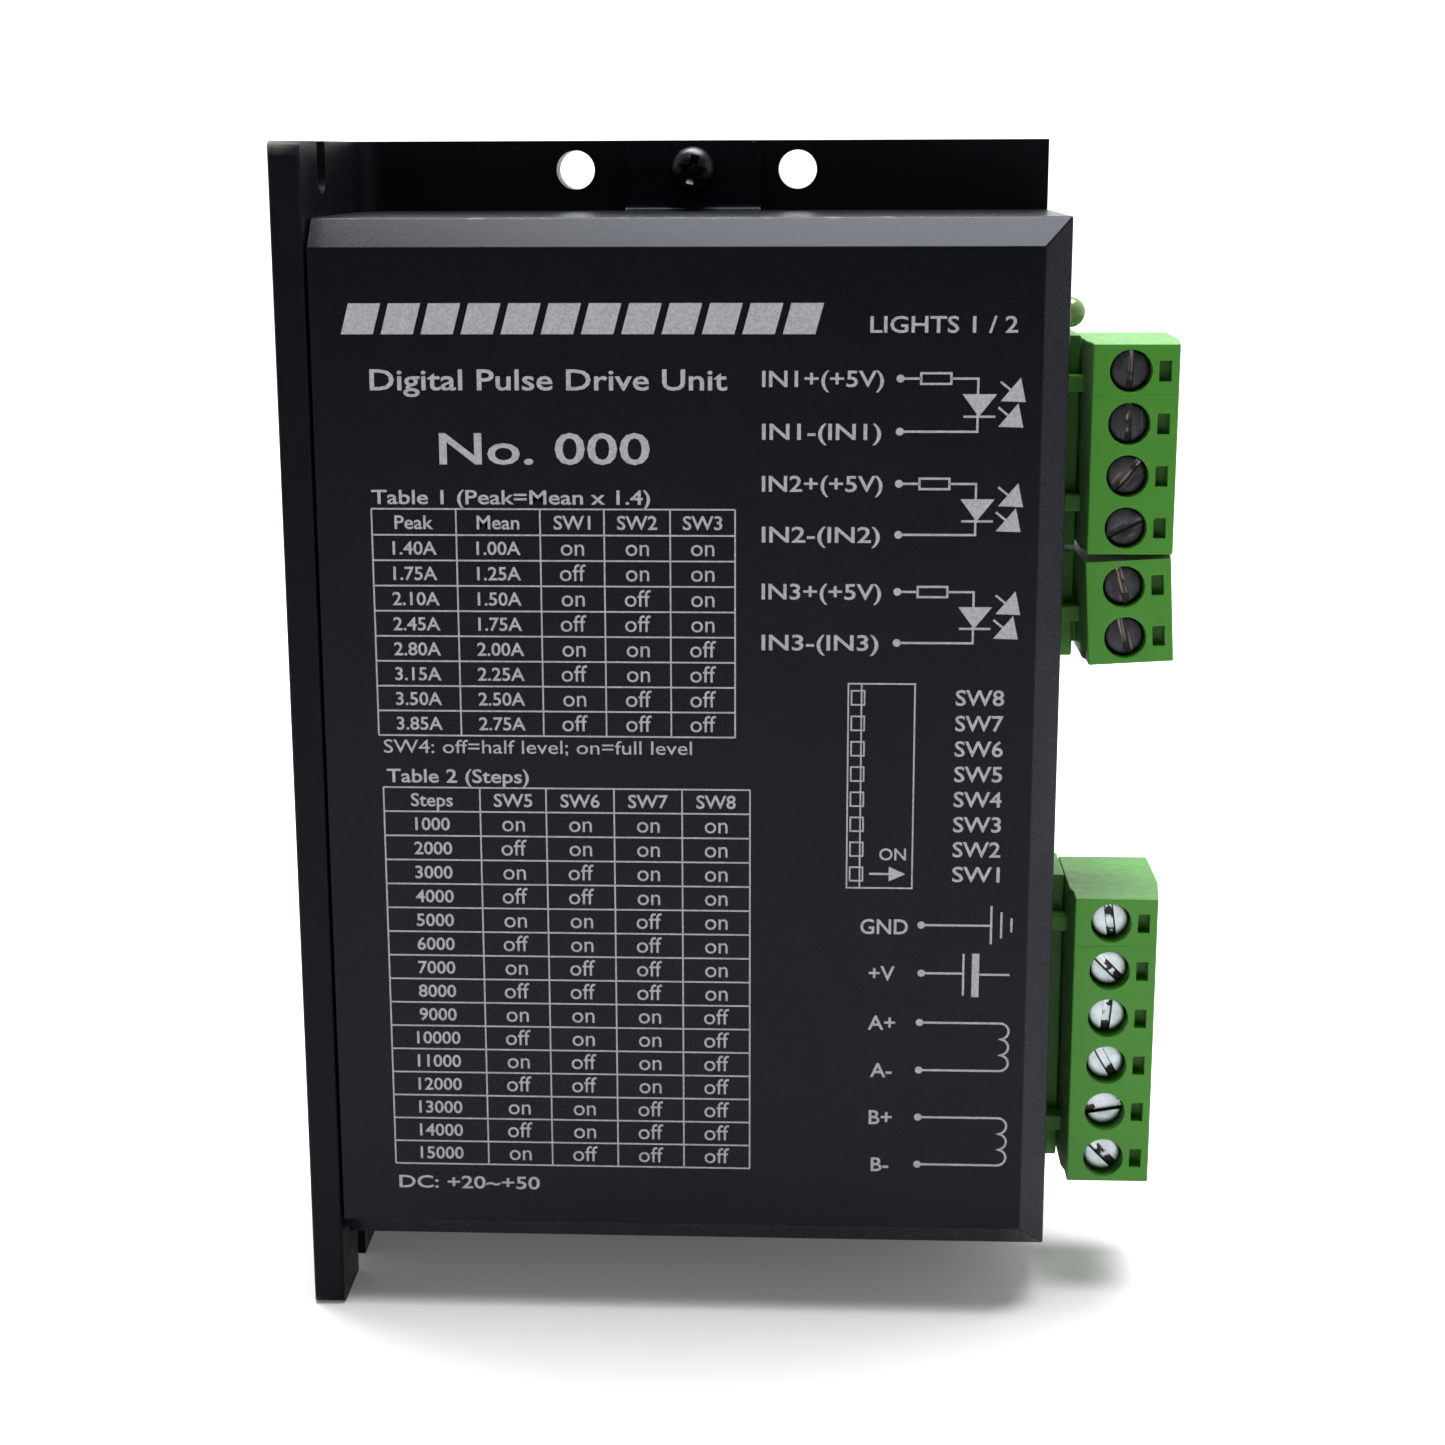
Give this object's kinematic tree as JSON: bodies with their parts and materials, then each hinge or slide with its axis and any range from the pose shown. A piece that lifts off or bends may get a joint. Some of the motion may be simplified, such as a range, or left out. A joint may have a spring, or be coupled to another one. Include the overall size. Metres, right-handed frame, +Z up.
{
  "type": "stepper motor driver module",
  "caption": "Upright motor driver module: L-shaped heatsink, folded black cover with printed panel, pluggable green screw terminals, slide switches and status lights on one side.",
  "frame": {"origin": "middle of the bounding box's base, at the lower end the module stands on", "axes": "+Z up along the module's height, -Y out of the front panel, +X towards the terminals"},
  "size_m": [0.0876, 0.034, 0.118],
  "materials": {
    "heatsink_black": "black anodised, fine satin",
    "cover_black": "black powder coat, fine grain",
    "screw_black": "black oxide",
    "screw_dark": "darkened zinc",
    "screw_zinc": "bright zinc plate",
    "clamp_tinned": "tin plated",
    "standoff_brass": "turned",
    "board_green": "solder mask over glass laminate",
    "chip_black": "moulded epoxy",
    "capacitor_can": "plastic sleeve over can",
    "pad_grey": "soft thermal pad",
    "dip_body": "moulded",
    "dip_lever": "moulded",
    "lens_green": "clear tinted epoxy",
    "lens_pale": "clear epoxy",
    "terminal_green": "moulded nylon, slight sheen"
  },
  "bodies": {
    "case": {"alarm_led": "lens_pale", "board_screw_1": "screw_zinc", "board_screw_2": "screw_zinc", "board_screw_3": "screw_zinc", "board_screw_4": "screw_zinc", "board_standoff_1": "standoff_brass", "board_standoff_2": "standoff_brass", "board_standoff_3": "standoff_brass", "board_standoff_4": "standoff_brass", "capacitor_1": "capacitor_can", "capacitor_2": "capacitor_can", "circuit_board": "board_green", "control_socket": "terminal_green", "cover": "cover_black", "cover_screw_bottom": "screw_black", "cover_screw_top": "screw_black", "dip_switch_body": "dip_body", "enable_socket": "terminal_green", "heatsink_base": "heatsink_black", "power_chip_1": "chip_black", "power_chip_2": "chip_black", "power_led": "lens_green", "power_socket": "terminal_green", "processor_chip": "chip_black", "thermal_pad": "pad_grey"},
    "control_plug": {"control_plug": "terminal_green"},
    "control_screw_1": {"control_screw_1": "screw_dark"},
    "control_clamp_1": {"control_clamp_1": "clamp_tinned"},
    "control_screw_2": {"control_screw_2": "screw_dark"},
    "control_clamp_2": {"control_clamp_2": "clamp_tinned"},
    "control_screw_3": {"control_screw_3": "screw_dark"},
    "control_clamp_3": {"control_clamp_3": "clamp_tinned"},
    "control_screw_4": {"control_screw_4": "screw_dark"},
    "control_clamp_4": {"control_clamp_4": "clamp_tinned"},
    "enable_plug": {"enable_plug": "terminal_green"},
    "enable_screw_1": {"enable_screw_1": "screw_dark"},
    "enable_clamp_1": {"enable_clamp_1": "clamp_tinned"},
    "enable_screw_2": {"enable_screw_2": "screw_dark"},
    "enable_clamp_2": {"enable_clamp_2": "clamp_tinned"},
    "power_plug": {"power_plug": "terminal_green"},
    "power_screw_1": {"power_screw_1": "screw_zinc"},
    "power_clamp_1": {"power_clamp_1": "clamp_tinned"},
    "power_screw_2": {"power_screw_2": "screw_zinc"},
    "power_clamp_2": {"power_clamp_2": "clamp_tinned"},
    "power_screw_3": {"power_screw_3": "screw_zinc"},
    "power_clamp_3": {"power_clamp_3": "clamp_tinned"},
    "power_screw_4": {"power_screw_4": "screw_zinc"},
    "power_clamp_4": {"power_clamp_4": "clamp_tinned"},
    "power_screw_5": {"power_screw_5": "screw_zinc"},
    "power_clamp_5": {"power_clamp_5": "clamp_tinned"},
    "power_screw_6": {"power_screw_6": "screw_zinc"},
    "power_clamp_6": {"power_clamp_6": "clamp_tinned"},
    "dip_lever_1": {"dip_lever_1": "dip_lever"},
    "dip_lever_2": {"dip_lever_2": "dip_lever"},
    "dip_lever_3": {"dip_lever_3": "dip_lever"},
    "dip_lever_4": {"dip_lever_4": "dip_lever"},
    "dip_lever_5": {"dip_lever_5": "dip_lever"},
    "dip_lever_6": {"dip_lever_6": "dip_lever"},
    "dip_lever_7": {"dip_lever_7": "dip_lever"},
    "dip_lever_8": {"dip_lever_8": "dip_lever"}
  },
  "joints": [
    {"name": "control_plug_pull", "type": "slide", "parent": "case", "child": "control_plug", "axis": [1, 0, 0], "range_m": [0, 0.01]},
    {"name": "control_screw_1_turn", "type": "hinge", "parent": "control_plug", "child": "control_screw_1", "pos_m": [0.03794, -0.01003, 0.09614], "axis": [0, 1, 0], "range_deg": [0, 1440]},
    {"name": "control_clamp_1_rise", "type": "slide", "parent": "control_plug", "child": "control_clamp_1", "axis": [0, -1, 0], "range_m": [0, 0.002]},
    {"name": "control_screw_2_turn", "type": "hinge", "parent": "control_plug", "child": "control_screw_2", "pos_m": [0.03794, -0.01003, 0.09106], "axis": [0, 1, 0], "range_deg": [0, 1440]},
    {"name": "control_clamp_2_rise", "type": "slide", "parent": "control_plug", "child": "control_clamp_2", "axis": [0, -1, 0], "range_m": [0, 0.002]},
    {"name": "control_screw_3_turn", "type": "hinge", "parent": "control_plug", "child": "control_screw_3", "pos_m": [0.03794, -0.01003, 0.08598], "axis": [0, 1, 0], "range_deg": [0, 1440]},
    {"name": "control_clamp_3_rise", "type": "slide", "parent": "control_plug", "child": "control_clamp_3", "axis": [0, -1, 0], "range_m": [0, 0.002]},
    {"name": "control_screw_4_turn", "type": "hinge", "parent": "control_plug", "child": "control_screw_4", "pos_m": [0.03794, -0.01003, 0.0809], "axis": [0, 1, 0], "range_deg": [0, 1440]},
    {"name": "control_clamp_4_rise", "type": "slide", "parent": "control_plug", "child": "control_clamp_4", "axis": [0, -1, 0], "range_m": [0, 0.002]},
    {"name": "enable_plug_pull", "type": "slide", "parent": "case", "child": "enable_plug", "axis": [1, 0, 0], "range_m": [0, 0.01]},
    {"name": "enable_screw_1_turn", "type": "hinge", "parent": "enable_plug", "child": "enable_screw_1", "pos_m": [0.03798, -0.01003, 0.0751], "axis": [0, 1, 0], "range_deg": [0, 1440]},
    {"name": "enable_clamp_1_rise", "type": "slide", "parent": "enable_plug", "child": "enable_clamp_1", "axis": [0, -1, 0], "range_m": [0, 0.002]},
    {"name": "enable_screw_2_turn", "type": "hinge", "parent": "enable_plug", "child": "enable_screw_2", "pos_m": [0.03828, -0.01003, 0.07003], "axis": [0, 1, 0], "range_deg": [0, 1440]},
    {"name": "enable_clamp_2_rise", "type": "slide", "parent": "enable_plug", "child": "enable_clamp_2", "axis": [0, -1, 0], "range_m": [0, 0.002]},
    {"name": "power_plug_pull", "type": "slide", "parent": "case", "child": "power_plug", "axis": [1, 0, 0], "range_m": [0, 0.01]},
    {"name": "power_screw_1_turn", "type": "hinge", "parent": "power_plug", "child": "power_screw_1", "pos_m": [0.03794, -0.00963, 0.04053], "axis": [0, 1, 0], "range_deg": [0, 1440]},
    {"name": "power_clamp_1_rise", "type": "slide", "parent": "power_plug", "child": "power_clamp_1", "axis": [0, -1, 0], "range_m": [0, 0.002]},
    {"name": "power_screw_2_turn", "type": "hinge", "parent": "power_plug", "child": "power_screw_2", "pos_m": [0.03794, -0.00963, 0.03545], "axis": [0, 1, 0], "range_deg": [0, 1440]},
    {"name": "power_clamp_2_rise", "type": "slide", "parent": "power_plug", "child": "power_clamp_2", "axis": [0, -1, 0], "range_m": [0, 0.002]},
    {"name": "power_screw_3_turn", "type": "hinge", "parent": "power_plug", "child": "power_screw_3", "pos_m": [0.03794, -0.00963, 0.03037], "axis": [0, 1, 0], "range_deg": [0, 1440]},
    {"name": "power_clamp_3_rise", "type": "slide", "parent": "power_plug", "child": "power_clamp_3", "axis": [0, -1, 0], "range_m": [0, 0.002]},
    {"name": "power_screw_4_turn", "type": "hinge", "parent": "power_plug", "child": "power_screw_4", "pos_m": [0.03794, -0.00963, 0.02529], "axis": [0, 1, 0], "range_deg": [0, 1440]},
    {"name": "power_clamp_4_rise", "type": "slide", "parent": "power_plug", "child": "power_clamp_4", "axis": [0, -1, 0], "range_m": [0, 0.002]},
    {"name": "power_screw_5_turn", "type": "hinge", "parent": "power_plug", "child": "power_screw_5", "pos_m": [0.03794, -0.00963, 0.02021], "axis": [0, 1, 0], "range_deg": [0, 1440]},
    {"name": "power_clamp_5_rise", "type": "slide", "parent": "power_plug", "child": "power_clamp_5", "axis": [0, -1, 0], "range_m": [0, 0.002]},
    {"name": "power_screw_6_turn", "type": "hinge", "parent": "power_plug", "child": "power_screw_6", "pos_m": [0.03794, -0.00963, 0.01513], "axis": [0, 1, 0], "range_deg": [0, 1440]},
    {"name": "power_clamp_6_rise", "type": "slide", "parent": "power_plug", "child": "power_clamp_6", "axis": [0, -1, 0], "range_m": [0, 0.002]},
    {"name": "dip_lever_1_slide", "type": "slide", "parent": "case", "child": "dip_lever_1", "axis": [0, 1, 0], "range_m": [0, 0.0016]},
    {"name": "dip_lever_2_slide", "type": "slide", "parent": "case", "child": "dip_lever_2", "axis": [0, 1, 0], "range_m": [0, 0.0016]},
    {"name": "dip_lever_3_slide", "type": "slide", "parent": "case", "child": "dip_lever_3", "axis": [0, 1, 0], "range_m": [0, 0.0016]},
    {"name": "dip_lever_4_slide", "type": "slide", "parent": "case", "child": "dip_lever_4", "axis": [0, 1, 0], "range_m": [0, 0.0016]},
    {"name": "dip_lever_5_slide", "type": "slide", "parent": "case", "child": "dip_lever_5", "axis": [0, 1, 0], "range_m": [0, 0.0016]},
    {"name": "dip_lever_6_slide", "type": "slide", "parent": "case", "child": "dip_lever_6", "axis": [0, 1, 0], "range_m": [0, 0.0016]},
    {"name": "dip_lever_7_slide", "type": "slide", "parent": "case", "child": "dip_lever_7", "axis": [0, 1, 0], "range_m": [0, 0.0016]},
    {"name": "dip_lever_8_slide", "type": "slide", "parent": "case", "child": "dip_lever_8", "axis": [0, 1, 0], "range_m": [0, 0.0016]}
  ],
  "couplings": [
    {"joint": "control_screw_1_turn", "follows": "control_clamp_1_rise", "rad_per_m": 12566},
    {"joint": "control_screw_2_turn", "follows": "control_clamp_2_rise", "rad_per_m": 12566},
    {"joint": "control_screw_3_turn", "follows": "control_clamp_3_rise", "rad_per_m": 12566},
    {"joint": "control_screw_4_turn", "follows": "control_clamp_4_rise", "rad_per_m": 12566},
    {"joint": "enable_screw_1_turn", "follows": "enable_clamp_1_rise", "rad_per_m": 12566},
    {"joint": "enable_screw_2_turn", "follows": "enable_clamp_2_rise", "rad_per_m": 12566},
    {"joint": "power_screw_1_turn", "follows": "power_clamp_1_rise", "rad_per_m": 12566},
    {"joint": "power_screw_2_turn", "follows": "power_clamp_2_rise", "rad_per_m": 12566},
    {"joint": "power_screw_3_turn", "follows": "power_clamp_3_rise", "rad_per_m": 12566},
    {"joint": "power_screw_4_turn", "follows": "power_clamp_4_rise", "rad_per_m": 12566},
    {"joint": "power_screw_5_turn", "follows": "power_clamp_5_rise", "rad_per_m": 12566},
    {"joint": "power_screw_6_turn", "follows": "power_clamp_6_rise", "rad_per_m": 12566}
  ]
}
